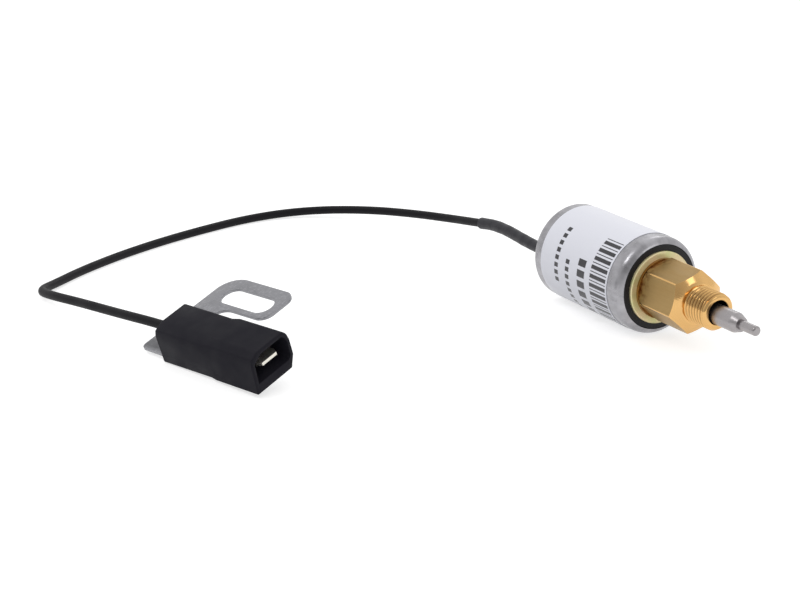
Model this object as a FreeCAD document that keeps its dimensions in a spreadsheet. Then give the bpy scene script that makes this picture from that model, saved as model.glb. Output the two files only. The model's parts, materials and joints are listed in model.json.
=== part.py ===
import FreeCAD, Part

import math
import os
import re

import Sketcher

# Fuel shut-off solenoid: a coil in a round can, a brass nose that screws into a bowl, a sprung
# plunger, and a single lead that ends in a one-way connector on a slotted bracket.
# Millimetres. X runs along the solenoid's axis towards its nose, Z is up, and the can lies on z = 0.
# A station is a distance along the axis from the outside of the can's back.

SIZES = {
    # Can, a drawn cup whose rim is rolled over the seal
    "can_diameter": 25.4,
    "can_length": 38.5,
    "can_wall": 0.9,
    "can_back_bend": 1.6,
    "rim_bend": 2.6,
    "rim_lip": 1.6,
    # Label wrapped round the can
    "label_start": 3.9,
    "label_front_gap": 5.3,
    "label_thickness": 0.1,
    "label_open_angle": 4.0,
    "glue_line": 0.02,
    # Front flange, a pole plate with a boss that fills the mouth
    "plate_depth": 3.0,
    "plate_thickness": 2.0,
    "seal_show": 1.7,
    "boss_proud": 0.6,
    "boss_edge": 0.25,
    # Seal ring squeezed between plate and rim
    "seal_height": 2.85,
    "seal_edge": 0.35,
    # Brass body
    "collar_diameter": 15.6,
    "collar_length": 0.8,
    "hex_across": 14.29,
    "hex_length": 12.5,
    "hex_turn": 18.1,
    "hex_back_chamfer": 0.35,
    "nose_chamfer": 1.8,
    "nose_step_diameter": 10.6,
    "thread_diameter": 9.525,
    "thread_length": 7.7,
    "thread_chamfer": 0.85,
    "nose_bore": 6.2,
    "nose_wall_length": 16.0,
    "guide_bore": 7.6,
    "guide_wall": 0.8,
    # Plunger
    "stem_diameter": 5.08,
    "stem_length": 24.8,
    "stem_cone": 2.0,
    "stem_cone_depth": 0.7,
    "stem_round": 1.0,
    "tip_diameter": 2.5,
    "tip_length": 5.7,
    "tip_round": 0.5,
    "plunger_stroke": 2.5,
    "plunger_sag": 0.5,
    "slide_clearance": 0.05,
    "stop_gap": 0.1,
    "spring_pocket": 3.9,
    "spring_pocket_depth": 8.0,
    # Return spring
    "spring_diameter": 3.4,
    "spring_wire": 0.4,
    "spring_turns": 7,
    "spring_gap": 0.05,
    # Pole stop and rear washer
    "stop_shoulder": 6.3,
    "stop_reach": 7.4,
    "stop_neck": 6.0,
    "stop_head": 7.8,
    "stop_head_height": 0.6,
    "washer_station": 7.6,
    "washer_thickness": 2.0,
    "insulator_thickness": 0.5,
    # Bobbin, winding and tape
    "bobbin_wall": 0.8,
    "bobbin_flange": 1.2,
    "winding_gap": 1.4,
    "tape_thickness": 0.2,
    "wire_notch": 2.0,
    "fit_gap": 0.05,
    # Lead, its sleeve, grommet and splice
    "lead_drop": 3.6,
    "lead_diameter": 2.4,
    "lead_start": 3.2,
    "lead_run_out": 12.0,
    "lead_run_in": 9.0,
    "sleeve_wall": 0.43,
    "sleeve_tail": 44.4,
    "sleeve_inside": 0.9,
    "grommet_neck": 5.0,
    "grommet_flange": 6.4,
    "grommet_lip": 0.7,
    "splice_length": 4.6,
    "splice_wall": 0.5,
    "splice_cover": 1.6,
    # Connector housing, in its own frame: along, across and up from its lower rear corner
    "connector_x": -44.0,
    "connector_y": -116.7,
    "connector_yaw": 14.8,
    "connector_pitch": -1.5,
    "connector_roll": 20.7,
    "shell_length": 35.4,
    "shell_width": 11.7,
    "shell_height": 10.0,
    "shell_lean": 1.0,
    "rear_lean": 0.4,
    "shell_bulge": 1.6,
    "shell_shoulder": 2.4,
    "shell_bevel": 2.7,
    "shell_waist": 0.7,
    "shell_step": 0.35,
    "shell_step_start": 18.0,
    "shell_step_end": 20.0,
    "shell_wall": 1.0,
    "shell_floor": 2.5,
    "mouth_depth": 16.5,
    "rear_wall": 4.6,
    "terminal_room": 7.2,
    "terminal_across": 7.05,
    # Blade terminal
    "blade_width": 6.35,
    "blade_thickness": 0.8,
    "blade_length": 14.5,
    "blade_recess": 1.0,
    "blade_height": 5.6,
    "blade_chamfer": 0.8,
    "blade_taper": 1.7,
    "crimp_wall": 0.35,
    "crimp_drop": 0.4,
    "crimp_length": 9.0,
    "terminal_neck": 3.0,
    # Bracket, in the connector's frame
    "bracket_thickness": 0.8,
    "bracket_lift": 0.6,
    "bracket_left": -9.6,
    "bracket_right": 14.7,
    "bracket_back": 33.8,
    "bracket_web": 8.1,
    "ring_front": 22.0,
    "tongue_front": 1.3,
    "tongue_back": 10.0,
    "tongue_end": 20.0,
    "slot_width": 6.35,
    "slot_length": 17.5,
    "slot_start": -5.3,
    "slot_front": 23.7,
    "bracket_back_corner": 6.0,
    "bracket_right_corner": 3.4,
    "bracket_front_corner": 1.5,
    "notch_corner": 4.0,
    "root_corner": 1.2,
}

# Points of the lead between the can and the connector, in part coordinates
ROUTE = [
    (-56.0, -0.6, 9.2),
    (-73.6, 0.1, 10.2),
    (-84.7, -0.7, 8.6),
    (-98.2, -1.2, 6.5),
    (-112.1, -5.1, 5.1),
    (-125.7, -11.4, 3.8),
    (-137.6, -20.5, 2.4),
    (-144.0, -31.8, 1.5),
    (-144.4, -45.8, 1.25),
    (-140.6, -61.5, 1.2),
    (-135.3, -77.6, 1.2),
    (-128.3, -93.7, 1.2),
    (-120.2, -108.2, 1.2),
    (-113.0, -117.3, 1.25),
    (-106.0, -124.5, 1.6),
    (-98.0, -126.5, 2.3),
    (-88.0, -122.2, 3.7),
    (-67.2, -119.0, 5.7),
]

document = FreeCAD.newDocument("solenoid")
sheet = document.addObject("Spreadsheet::Sheet", "sizes")
for row, (alias, number) in enumerate(SIZES.items(), start=1):
    sheet.set("A%d" % row, alias)
    sheet.set("B%d" % row, str(number))
    sheet.setAlias("B%d" % row, alias)
document.recompute()

# Derived rules, each a plain expression of the sizes above
AXIS_HEIGHT = "(can_diameter / 2 + glue_line + label_thickness)"
PLATE_FACE = "(can_length - plate_depth)"
PLATE_BACK = "(can_length - plate_depth - plate_thickness)"
BOSS_FACE = "(can_length + boss_proud)"
CAVITY = "(can_diameter / 2 - can_wall)"
MOUTH = "(can_diameter / 2 - rim_lip)"
BOSS = "(can_diameter / 2 - rim_lip - seal_show)"
LABEL_END = "(can_length - label_front_gap)"
COLLAR_END = "(can_length + boss_proud + collar_length)"
HEX_END = "(can_length + boss_proud + collar_length + hex_length)"
THREAD_START = "(can_length + boss_proud + collar_length + hex_length + nose_chamfer)"
NOSE_END = "(can_length + boss_proud + collar_length + hex_length + nose_chamfer + thread_length)"
HEX_CORNER = "(hex_across / sqrt(3))"
GUIDE = "(guide_bore / 2)"
SHANK = "(guide_bore / 2 + guide_wall)"
GUIDE_STEP = "(%s - nose_wall_length)" % NOSE_END
WASHER_FRONT = "(washer_station + washer_thickness)"
GUIDE_BACK = "(%s + stop_shoulder)" % WASHER_FRONT
STOP_FACE = "(%s + stop_reach)" % GUIDE_BACK
ARMATURE_FRONT = "(%s - stop_gap)" % GUIDE_STEP
ARMATURE_BACK = "(%s + stop_gap + plunger_stroke)" % STOP_FACE
STEM_END = "(%s + stem_length)" % ARMATURE_FRONT
TIP_END = "(%s + tip_length)" % STEM_END
BOBBIN_BACK = "(%s + fit_gap)" % WASHER_FRONT
BOBBIN_FRONT = "(%s - fit_gap)" % PLATE_BACK
BARREL = "(%s + fit_gap + bobbin_wall)" % SHANK
WINDING = "(%s - winding_gap)" % CAVITY
CRIMP_HEIGHT = "(blade_height - crimp_drop)"


def tied(rule):
    """The rule with each named size pointed at its cell in the sheet."""
    return re.sub(r"[a-z]\w*", lambda word: "sizes." * (word.group() in SIZES) + word.group(), rule)


def amount(rule):
    """The present value of a rule."""
    return float(sheet.evalExpression(rule))


def new_body(label):
    """An empty body that lies along the solenoid's axis."""
    body = document.addObject("PartDesign::Body", label)
    body.Label = label
    body.setExpression("Placement.Base.x", tied("-%s / 2" % TIP_END))
    body.setExpression("Placement.Base.z", tied(AXIS_HEIGHT))
    return body


def connector_body(label):
    """An empty body in the connector's frame, which leans on its lower front edge."""
    body = document.addObject("PartDesign::Body", label)
    body.Label = label
    body.Placement = connector_place()
    return body


def connector_place():
    base = FreeCAD.Vector(amount("connector_x"), amount("connector_y"), 0)
    turn_of_connector = FreeCAD.Rotation(
        amount("connector_yaw"), amount("connector_pitch"), amount("connector_roll"))
    return FreeCAD.Placement(base, turn_of_connector)


def new_sketch(body, name, role, offset=None):
    """A sketch on one of the body's own planes, moved along the plane's normal by a rule."""
    plane = next(item for item in body.Origin.OriginFeatures if item.Role == role)
    sketch = body.newObject("Sketcher::SketchObject", name)
    sketch.AttachmentSupport = [(plane, "")]
    sketch.MapMode = "FlatFace"
    if offset:
        sketch.setExpression("AttachmentOffset.Base.z", tied(offset))
    return sketch


def pin(sketch, kind, line, end, rule):
    """Binds one coordinate of a line's end to a rule."""
    if rule == "0":
        axis = -2 if kind == "DistanceX" else -1
        sketch.addConstraint(Sketcher.Constraint("PointOnObject", line, end, axis))
        return
    index = sketch.addConstraint(Sketcher.Constraint(kind, -1, 1, line, end, amount(rule)))
    sketch.setExpression("Constraints[%d]" % index, tied(rule))


def outline(sketch, corners):
    """A closed outline of straight lines whose corners are bound to rules."""
    points = [FreeCAD.Vector(amount(x), amount(y), 0) for x, y in corners]
    count = len(points)
    for index, point in enumerate(points):
        sketch.addGeometry(Part.LineSegment(point, points[(index + 1) % count]), False)
    for index in range(count):
        sketch.addConstraint(Sketcher.Constraint("Coincident", index, 2, (index + 1) % count, 1))
    for index, (x, y) in enumerate(corners):
        pin(sketch, "DistanceX", index, 1, x)
        pin(sketch, "DistanceY", index, 1, y)


def circle(sketch, x, y, diameter):
    """A circle whose centre and diameter are bound to rules."""
    centre = FreeCAD.Vector(amount(x), amount(y), 0)
    normal = FreeCAD.Vector(0, 0, 1)
    index = sketch.addGeometry(Part.Circle(centre, normal, amount(diameter) / 2), False)
    pin(sketch, "DistanceX", index, 3, x)
    pin(sketch, "DistanceY", index, 3, y)
    size = sketch.addConstraint(Sketcher.Constraint("Diameter", index, amount(diameter)))
    sketch.setExpression("Constraints[%d]" % size, tied(diameter))


def turn(body, name, corners, cut=False, angle="360"):
    """Revolves a profile of station and radius about the axis, as solid or as a cut."""
    sketch = new_sketch(body, name + "_profile", "XZ_Plane")
    outline(sketch, corners)
    feature = body.newObject("PartDesign::Groove" if cut else "PartDesign::Revolution", name)
    feature.Profile = sketch
    feature.ReferenceAxis = (sketch, ["H_Axis"])
    feature.setExpression("Angle", tied(angle))
    document.recompute()
    return feature


def extrude(body, name, sketch, length, cut=False, both=False, back=False):
    """Pads or pockets a sketch by a rule, one way, the other way or both."""
    feature = body.newObject("PartDesign::Pocket" if cut else "PartDesign::Pad", name)
    feature.Profile = sketch
    feature.setExpression("Length", tied(length))
    feature.Midplane = both
    feature.Reversed = back
    document.recompute()
    return feature


def dress(body, kind, name, edges, rule):
    """Rounds or chamfers the chosen edges of the body's latest shape."""
    feature = body.newObject("PartDesign::" + kind, name)
    feature.Base = (body_before(body, feature), edges)
    feature.setExpression("Radius" if kind == "Fillet" else "Size", tied(rule))
    document.recompute()
    return feature


def body_before(body, feature):
    """The solid feature that a new one follows."""
    return feature.BaseFeature or body.Tip


def ring_edges(body, station, radius):
    """Names of the round edges about the axis at one station and radius."""
    names = []
    for index, edge in enumerate(body.Tip.Shape.Edges, start=1):
        if not isinstance(edge.Curve, Part.Circle):
            continue
        centred = math.hypot(edge.Curve.Center.y, edge.Curve.Center.z) < 0.01
        level = abs(edge.Curve.Center.x - amount(station)) < 0.01
        if centred and level and abs(edge.Curve.Radius - amount(radius)) < 0.01:
            names.append("Edge%d" % index)
    return names


def upright_edges(body, corners):
    """Names of the edges along Z that stand at the given plan corners."""
    places = [(amount(x), amount(y)) for x, y in corners]
    names = []
    for index, edge in enumerate(body.Tip.Shape.Edges, start=1):
        first, last = edge.Vertexes[0].Point, edge.Vertexes[-1].Point
        upright = math.hypot(first.x - last.x, first.y - last.y) < 0.001
        if upright and any(math.hypot(first.x - x, first.y - y) < 0.01 for x, y in places):
            names.append("Edge%d" % index)
    return names


def make_can():
    """Drawn cup, closed at the back, with its nose rim rolled in and a hole for the lead."""
    body = new_body("can")
    outer = "can_diameter / 2"
    turn(body, "can_blank", [("0", "0"), ("can_length", "0"), ("can_length", outer), ("0", outer)])
    dress(body, "Fillet", "can_back_round", ring_edges(body, "0", outer), "can_back_bend")
    dress(body, "Fillet", "can_rim_round", ring_edges(body, "can_length", outer), "rim_bend")
    inner_end = "can_length - can_wall"
    inside = [("can_wall", "0"), (inner_end, "0"), (inner_end, CAVITY), ("can_wall", CAVITY)]
    turn(body, "can_cavity", inside, cut=True)
    back_edge = ring_edges(body, "can_wall", CAVITY)
    dress(body, "Fillet", "cavity_back_round", back_edge, "can_back_bend - can_wall")
    dress(body, "Fillet", "cavity_rim_round", ring_edges(body, inner_end, CAVITY), "rim_bend - can_wall")
    middle, beyond = "can_length / 2", "can_length + can_wall"
    turn(body, "can_mouth", [(middle, "0"), (beyond, "0"), (beyond, MOUTH), (middle, MOUTH)], cut=True)
    sketch = new_sketch(body, "lead_hole_profile", "YZ_Plane")
    circle(sketch, "0", "-lead_drop", "grommet_neck")
    extrude(body, "lead_hole", sketch, "can_wall * 3", cut=True, both=True)
    return body


def make_label():
    """Printed film wrapped round the can, its two ends a little apart on the far side."""
    body = new_body("label")
    inner = "can_diameter / 2 + glue_line"
    outer = "can_diameter / 2 + glue_line + label_thickness"
    wrap = [("label_start", inner), (LABEL_END, inner), (LABEL_END, outer), ("label_start", outer)]
    turn(body, "label_wrap", wrap, angle="360 - label_open_angle")
    body.Placement.Rotation = FreeCAD.Rotation(FreeCAD.Vector(1, 0, 0), -110)
    return body


def make_front_flange():
    """Steel pole plate whose boss fills the can's mouth and carries the brass body."""
    body = new_body("front_flange")
    bore, edge = "%s + fit_gap" % SHANK, "%s - fit_gap" % CAVITY
    turn(body, "flange_turned", [
        (PLATE_BACK, bore), (BOSS_FACE, bore), (BOSS_FACE, BOSS),
        (PLATE_FACE, BOSS), (PLATE_FACE, edge), (PLATE_BACK, edge),
    ])
    dress(body, "Chamfer", "boss_edge_break", ring_edges(body, BOSS_FACE, BOSS), "boss_edge")
    return body


def make_seal_ring():
    """Rubber ring squeezed between the plate and the rolled rim, showing in the mouth."""
    body = new_body("seal_ring")
    inner, outer = "%s + fit_gap" % BOSS, "%s - fit_gap" % CAVITY
    neck = "%s - fit_gap" % MOUTH
    shoulder = "can_length - rim_bend"
    under_rim = "can_length - can_wall - (rim_bend - can_wall) / 4"
    front = "%s + seal_height" % PLATE_FACE
    turn(body, "seal_moulded", [
        (PLATE_FACE + " + fit_gap", inner), (front, inner), (front, neck), (under_rim, neck),
        (shoulder, outer), (PLATE_FACE + " + fit_gap", outer),
    ])
    dress(body, "Fillet", "seal_front_round", ring_edges(body, front, neck), "seal_edge")
    return body


def hex_rules(turned):
    """The six corners of the hexagon, across and up, turned by a number of degrees."""
    rules = []
    for corner in range(6):
        angle = "((%s + %d) * 1 deg)" % (turned, 60 * corner)
        rules.append(("%s * cos(%s)" % (HEX_CORNER, angle), "%s * sin(%s)" % (HEX_CORNER, angle)))
    return rules


def make_brass_body():
    """Turned brass: threaded nose, hexagon, collar and the tube that guides the plunger."""
    body = new_body("brass_body")
    step, thread, collar = "nose_step_diameter / 2", "thread_diameter / 2", "collar_diameter / 2"
    turn(body, "brass_turned", [
        (GUIDE_BACK, "0"), (NOSE_END, "0"), (NOSE_END, thread), (THREAD_START, thread),
        (THREAD_START, step), (HEX_END, step), (HEX_END, "hex_across / 2 - 0.2"),
        (COLLAR_END, "hex_across / 2 - 0.2"), (COLLAR_END, collar), (BOSS_FACE, collar),
        (BOSS_FACE, SHANK), (GUIDE_BACK, SHANK),
    ])
    dress(body, "Chamfer", "thread_lead_in", ring_edges(body, NOSE_END, thread), "thread_chamfer")
    sketch = new_sketch(body, "hexagon", "YZ_Plane", offset=COLLAR_END)
    outline(sketch, hex_rules("hex_turn"))
    extrude(body, "hexagon_bar", sketch, "hex_length + nose_chamfer")
    beyond = "%s + 1" % HEX_CORNER
    turn(body, "nose_cone", [
        (HEX_END, HEX_CORNER), (THREAD_START, step), (THREAD_START + " + 1", step),
        (THREAD_START + " + 1", beyond), (HEX_END, beyond),
    ], cut=True)
    back_end = "%s + (%s - collar_diameter / 2) + hex_back_chamfer" % (COLLAR_END, HEX_CORNER)
    turn(body, "back_cone", [
        (COLLAR_END, "collar_diameter / 2 - hex_back_chamfer"), (back_end, HEX_CORNER),
        (back_end, beyond), (COLLAR_END, beyond),
    ], cut=True)
    nose = "nose_bore / 2"
    back, front = "%s - 1" % GUIDE_BACK, "%s + 1" % NOSE_END
    turn(body, "guide_and_nose_bore", [
        (back, "0"), (front, "0"), (front, nose), (GUIDE_STEP, nose), (GUIDE_STEP, GUIDE), (back, GUIDE),
    ], cut=True)
    return body


def make_plunger():
    """Steel plunger: armature with a spring pocket, stem and a rounded tip pin."""
    body = new_body("plunger")
    armature = "guide_bore / 2 - plunger_sag - slide_clearance"
    stem, tip, pocket = "stem_diameter / 2", "tip_diameter / 2", "spring_pocket / 2"
    floor, cone_start = "%s + spring_pocket_depth" % ARMATURE_BACK, "%s - stem_cone" % STEM_END
    turn(body, "plunger_turned", [
        (ARMATURE_BACK, pocket), (floor, pocket), (floor, "0"), (TIP_END, "0"), (TIP_END, tip),
        (STEM_END, tip), (STEM_END, stem + " - stem_cone_depth"), (cone_start, stem),
        (ARMATURE_FRONT, stem), (ARMATURE_FRONT, armature), (ARMATURE_BACK, armature),
    ])
    dress(body, "Fillet", "stem_shoulder", ring_edges(body, cone_start, stem), "stem_round")
    dress(body, "Fillet", "tip_nose", ring_edges(body, TIP_END, tip), "tip_round")
    body.setExpression("Placement.Base.z", tied("%s - plunger_sag" % AXIS_HEIGHT))
    return body


def make_return_spring():
    """Round wire wound between the pole stop and the floor of the plunger's pocket."""
    wire = amount("spring_wire")
    start = amount(STOP_FACE) + amount("spring_gap") + wire / 2
    end = amount(ARMATURE_BACK) + amount("spring_pocket_depth") - amount("spring_gap") - wire / 2
    mean = (amount("spring_diameter") - wire) / 2
    turns = amount("spring_turns")
    path = Part.makeHelix((end - start) / turns, end - start, mean)
    ring = Part.Wire(Part.makeCircle(wire / 2, FreeCAD.Vector(mean, 0, 0), FreeCAD.Vector(0, 1, 0)))
    spring = document.addObject("Part::Feature", "return_spring")
    spring.Shape = Part.Wire(path).makePipeShell([ring], True, True)
    along = FreeCAD.Rotation(FreeCAD.Vector(0, 0, 1), FreeCAD.Vector(1, 0, 0))
    spring.Placement = FreeCAD.Placement(on_axis(start, up=-amount("plunger_sag")), along)
    return spring


def on_axis(station, across=0.0, up=0.0):
    """The point in part coordinates at a station, offset from the axis."""
    return FreeCAD.Vector(station - amount(TIP_END) / 2, across, amount(AXIS_HEIGHT) + up)


def make_pole_stop():
    """Fixed steel core: its front stops the plunger, its neck is headed over behind the washer."""
    body = new_body("pole_stop")
    slim, full = "guide_bore / 2 - glue_line", "%s - glue_line" % SHANK
    shoulder = "%s - glue_line" % GUIDE_BACK
    back = "washer_station - stop_head_height"
    neck, head = "stop_neck / 2", "stop_head / 2"
    turn(body, "stop_turned", [
        (back, "0"), (STOP_FACE, "0"), (STOP_FACE, slim), (shoulder, slim), (shoulder, full),
        (WASHER_FRONT, full), (WASHER_FRONT, neck), ("washer_station", neck),
        ("washer_station", head), (back, head),
    ])
    return body


def notch(body, name, station, length):
    """A slot in a disc's lower edge that lets the coil's wire past."""
    sketch = new_sketch(body, name + "_profile", "YZ_Plane", offset=station)
    low, high, half = "-can_diameter / 2", "-(%s + fit_gap * 2)" % BARREL, "wire_notch / 2"
    outline(sketch, [("-" + half, low), (half, low), (half, high), ("-" + half, high)])
    extrude(body, name, sketch, length, cut=True, both=True)


def make_rear_washer():
    """Steel washer that carries the field from the pole stop to the can."""
    body = new_body("rear_washer")
    hole, edge = "stop_neck / 2 + glue_line", "%s - fit_gap" % CAVITY
    turn(body, "washer_turned", [
        ("washer_station", hole), (WASHER_FRONT, hole), (WASHER_FRONT, edge), ("washer_station", edge),
    ])
    notch(body, "washer_notch", "washer_station", "washer_thickness * 4")
    return body


def make_splice_insulator():
    """Fibre disc that keeps the splice off the washer."""
    body = new_body("splice_insulator")
    back, front = "washer_station - fit_gap - insulator_thickness", "washer_station - fit_gap"
    hole, edge = "stop_head / 2 + fit_gap", "%s - fit_gap" % CAVITY
    turn(body, "disc_punched", [(back, hole), (front, hole), (front, edge), (back, edge)])
    notch(body, "disc_notch", "washer_station", "insulator_thickness * 4")
    return body


def make_bobbin():
    """Moulded spool: a barrel round the guide tube between two flanges."""
    body = new_body("bobbin")
    bore, barrel, edge = "%s + fit_gap" % SHANK, BARREL, "%s - fit_gap * 4" % CAVITY
    back_inner = "%s + bobbin_flange" % BOBBIN_BACK
    front_inner = "%s - bobbin_flange" % BOBBIN_FRONT
    turn(body, "bobbin_moulded", [
        (BOBBIN_BACK, bore), (BOBBIN_FRONT, bore), (BOBBIN_FRONT, edge), (front_inner, edge),
        (front_inner, barrel), (back_inner, barrel), (back_inner, edge), (BOBBIN_BACK, edge),
    ])
    notch(body, "bobbin_notch", BOBBIN_BACK, "bobbin_flange * 3")
    return body


def make_coil_winding():
    """The wound wire, as one solid pack."""
    body = new_body("coil_winding")
    back, front = "%s + bobbin_flange + fit_gap" % BOBBIN_BACK, "%s - bobbin_flange - fit_gap" % BOBBIN_FRONT
    inner = "%s + fit_gap" % BARREL
    turn(body, "winding_pack", [(back, inner), (front, inner), (front, WINDING), (back, WINDING)])
    return body


def make_coil_tape():
    """Tape round the outside of the winding."""
    body = new_body("coil_tape")
    back, front = "%s + bobbin_flange + fit_gap" % BOBBIN_BACK, "%s - bobbin_flange - fit_gap" % BOBBIN_FRONT
    inner = "%s + glue_line" % WINDING
    outer = "%s + glue_line + tape_thickness" % WINDING
    turn(body, "tape_wrap", [(back, inner), (front, inner), (front, outer), (back, outer)])
    return body


def make_lead_grommet():
    """Rubber grommet in the can's lead hole, with a lip on each side of the wall."""
    body = new_body("lead_grommet")
    bore = "lead_diameter / 2 + sleeve_wall + glue_line * 2"
    neck, lip = "grommet_neck / 2 - glue_line", "grommet_flange / 2"
    turn(body, "grommet_moulded", [
        ("-grommet_lip", bore), ("can_wall + grommet_lip", bore), ("can_wall + grommet_lip", lip),
        ("can_wall", lip), ("can_wall", neck), ("0", neck), ("0", lip), ("-grommet_lip", lip),
    ])
    body.setExpression("Placement.Base.z", tied("%s - lead_drop" % AXIS_HEIGHT))
    return body


def make_splice_crimp():
    """Tinned ferrule that joins the lead to the coil's wire inside the can."""
    body = new_body("splice_crimp")
    start = "lead_start - splice_cover"
    inner, outer = "lead_diameter / 2 + glue_line", "lead_diameter / 2 + glue_line + splice_wall"
    end = "lead_start - splice_cover + splice_length"
    turn(body, "ferrule_rolled", [
        (start, inner), ("lead_start + glue_line", inner), ("lead_start + glue_line", "0"),
        (end, "0"), (end, outer), (start, outer),
    ])
    body.setExpression("Placement.Base.z", tied("%s - lead_drop" % AXIS_HEIGHT))
    return body


def lead_points():
    """The route of the lead: straight out of the can, over its points and straight into the crimp."""
    start = on_axis(amount("lead_start"), up=-amount("lead_drop"))
    out = on_axis(amount("lead_start - lead_run_out"), up=-amount("lead_drop"))
    entry = FreeCAD.Vector(amount("terminal_neck"), amount("terminal_across"), amount(CRIMP_HEIGHT))
    run_in = FreeCAD.Vector(amount("lead_run_in"), 0, 0)
    place = connector_place()
    ends = [place.multVec(entry - run_in), place.multVec(entry)]
    return [start, out] + [FreeCAD.Vector(*point) for point in ROUTE] + ends


def rounded_path(points):
    """Straight runs joined by tangent arcs, and the radius of each arc."""
    edges, radii, last = [], [], points[0]
    for before, corner, after in zip(points, points[1:], points[2:]):
        back, ahead = before - corner, after - corner
        half_turn = (math.pi - back.getAngle(ahead)) / 2
        cut = 0.45 * min(back.Length, ahead.Length)
        radii.append(cut / math.tan(half_turn))
        first = corner + FreeCAD.Vector(back).normalize() * cut
        second = corner + FreeCAD.Vector(ahead).normalize() * cut
        inward = ((first + second) * 0.5 - corner).normalize()
        middle = corner + inward * (radii[-1] / math.cos(half_turn) - radii[-1])
        edges.append(Part.LineSegment(last, first).toShape())
        edges.append(Part.Arc(first, middle, second).toShape())
        last = second
    edges.append(Part.LineSegment(last, points[-1]).toShape())
    return edges, radii


def tube(edges, radius):
    """A round solid swept along a path of tangent edges."""
    path = Part.Wire(edges)
    start = edges[0].Vertexes[0].Point
    ring = Part.Wire(Part.makeCircle(radius, start, edges[0].tangentAt(edges[0].FirstParameter)))
    return path.makePipeShell([ring], True, False)


def trimmed(edges, length):
    """The first edges of a path, cut off at a length."""
    kept, left = [], length
    for edge in edges:
        if edge.Length < left:
            kept.append(edge)
            left -= edge.Length
            continue
        span = edge.LastParameter - edge.FirstParameter
        kept.append(edge.Curve.toShape(edge.FirstParameter, edge.FirstParameter + span * left / edge.Length))
        break
    return kept


def make_lead():
    """The lead from the splice to the crimp, and the shrunk sleeve on its first stretch."""
    edges, radii = rounded_path(lead_points())
    radius = amount("lead_diameter / 2")
    lead = document.addObject("Part::Feature", "lead_wire")
    lead.Shape = tube(edges, radius)
    length = sum(edge.Length for edge in edges)
    print("lead length %.1f, arc radii %s" % (length, " ".join("%.1f" % item for item in radii)))
    print("lead volume ratio %.4f" % (lead.Shape.Volume / (math.pi * radius ** 2 * length)))
    bare = amount("lead_start - sleeve_inside")
    outer_path = trimmed(edges, amount("lead_start + sleeve_tail"))
    inner = tube(edges, radius + amount("glue_line"))
    outer = tube(outer_path, radius + amount("glue_line + sleeve_wall"))
    back = FreeCAD.Vector(-1, 0, 0)
    ahead = edges[0].Vertexes[0].Point - back
    splice_room = Part.makeCylinder(amount("can_wall + lead_diameter"), bare + 1, ahead, back)
    sleeve = document.addObject("Part::Feature", "lead_sleeve")
    sleeve.Shape = outer.cut(inner).cut(splice_room)
    return [lead, sleeve]


def shell_section(body, name, station, near, far, lean):
    """One section across the housing: one side leans in, the other bulges under a shoulder."""
    sketch = new_sketch(body, name, "YZ_Plane", offset=station)
    bulge = "%s + shell_bulge" % far
    outline(sketch, [
        (near, "0"), (far, "0"), (far + " + 0.4", "0.9"), (bulge, "3"),
        (bulge + " + 0.3", "shell_height - shell_shoulder - 0.7"),
        (bulge, "shell_height - shell_shoulder / 2"),
        (bulge + " - 1", "shell_height"), (near + " + shell_lean + shell_bevel", "shell_height"),
        ("%s + %s + 0.5" % (near, lean), "shell_height - 1"),
        ("%s + %s" % (near, lean), "shell_height - shell_shoulder"),
    ])
    return sketch


def make_connector_housing():
    """Moulded one-way shell: a deep shroud in front, a waist behind it and a bored rear wall."""
    body = connector_body("connector_housing")
    waist, shroud = "shell_width - shell_waist", "shell_width"
    rear = shell_section(body, "rear_end", "0", "shell_step / 2", waist, "rear_lean")
    sections = [
        shell_section(body, "waist_front", "shell_step_start", "shell_step", waist, "rear_lean"),
        shell_section(body, "shroud_back", "shell_step_end", "0", shroud, "shell_lean"),
        shell_section(body, "shroud_front", "shell_length", "0", shroud, "shell_lean"),
    ]
    loft = body.newObject("PartDesign::AdditiveLoft", "housing_shell")
    loft.Profile = rear
    loft.Sections = sections
    loft.Ruled = True
    document.recompute()
    mouth = new_sketch(body, "mouth_outline", "YZ_Plane", offset="shell_length")
    near, far, roof = "shell_wall", "shell_width + shell_bulge - shell_wall", "shell_height - shell_wall"
    outline(mouth, [
        (near + " + 0.3", "shell_floor"), (far + " - 1", "shell_floor"), (far, "shell_floor + 0.9"),
        (far + " + 0.3", "shell_height - shell_shoulder - 0.7"), (far, roof + " - 0.9"),
        (far + " - 0.7", roof), (near + " + shell_lean + shell_bevel", roof),
        (near + " + shell_lean", "shell_height - shell_shoulder"),
    ])
    extrude(body, "mouth", mouth, "mouth_depth", cut=True)
    room = new_sketch(body, "terminal_outline", "YZ_Plane", offset="rear_wall")
    side_a, side_b = "terminal_across - terminal_room / 2", "terminal_across + terminal_room / 2"
    under, over = "blade_height - lead_diameter", "blade_height + lead_diameter"
    outline(room, [(side_a, under), (side_b, under), (side_b, over), (side_a, over)])
    extrude(body, "terminal_cavity", room, "shell_length - mouth_depth - rear_wall + 1", cut=True, back=True)
    hole = new_sketch(body, "lead_hole_outline", "YZ_Plane", offset="rear_wall + 1")
    circle(hole, "terminal_across", CRIMP_HEIGHT, "lead_diameter + crimp_wall * 2 + fit_gap * 4")
    extrude(body, "lead_passage", hole, "rear_wall * 2", cut=True)
    channel = new_sketch(body, "channel_outline", "YZ_Plane", offset="tongue_end + 0.5")
    front, back = "tongue_front - fit_gap * 2", "tongue_back + fit_gap * 2"
    floor, ceiling = "bracket_lift - fit_gap * 2", "bracket_lift + bracket_thickness + fit_gap * 2"
    outline(channel, [(front, floor), (back, floor), (back, ceiling), (front, ceiling)])
    extrude(body, "tongue_channel", channel, "tongue_end + 2", cut=True)
    return body


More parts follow.
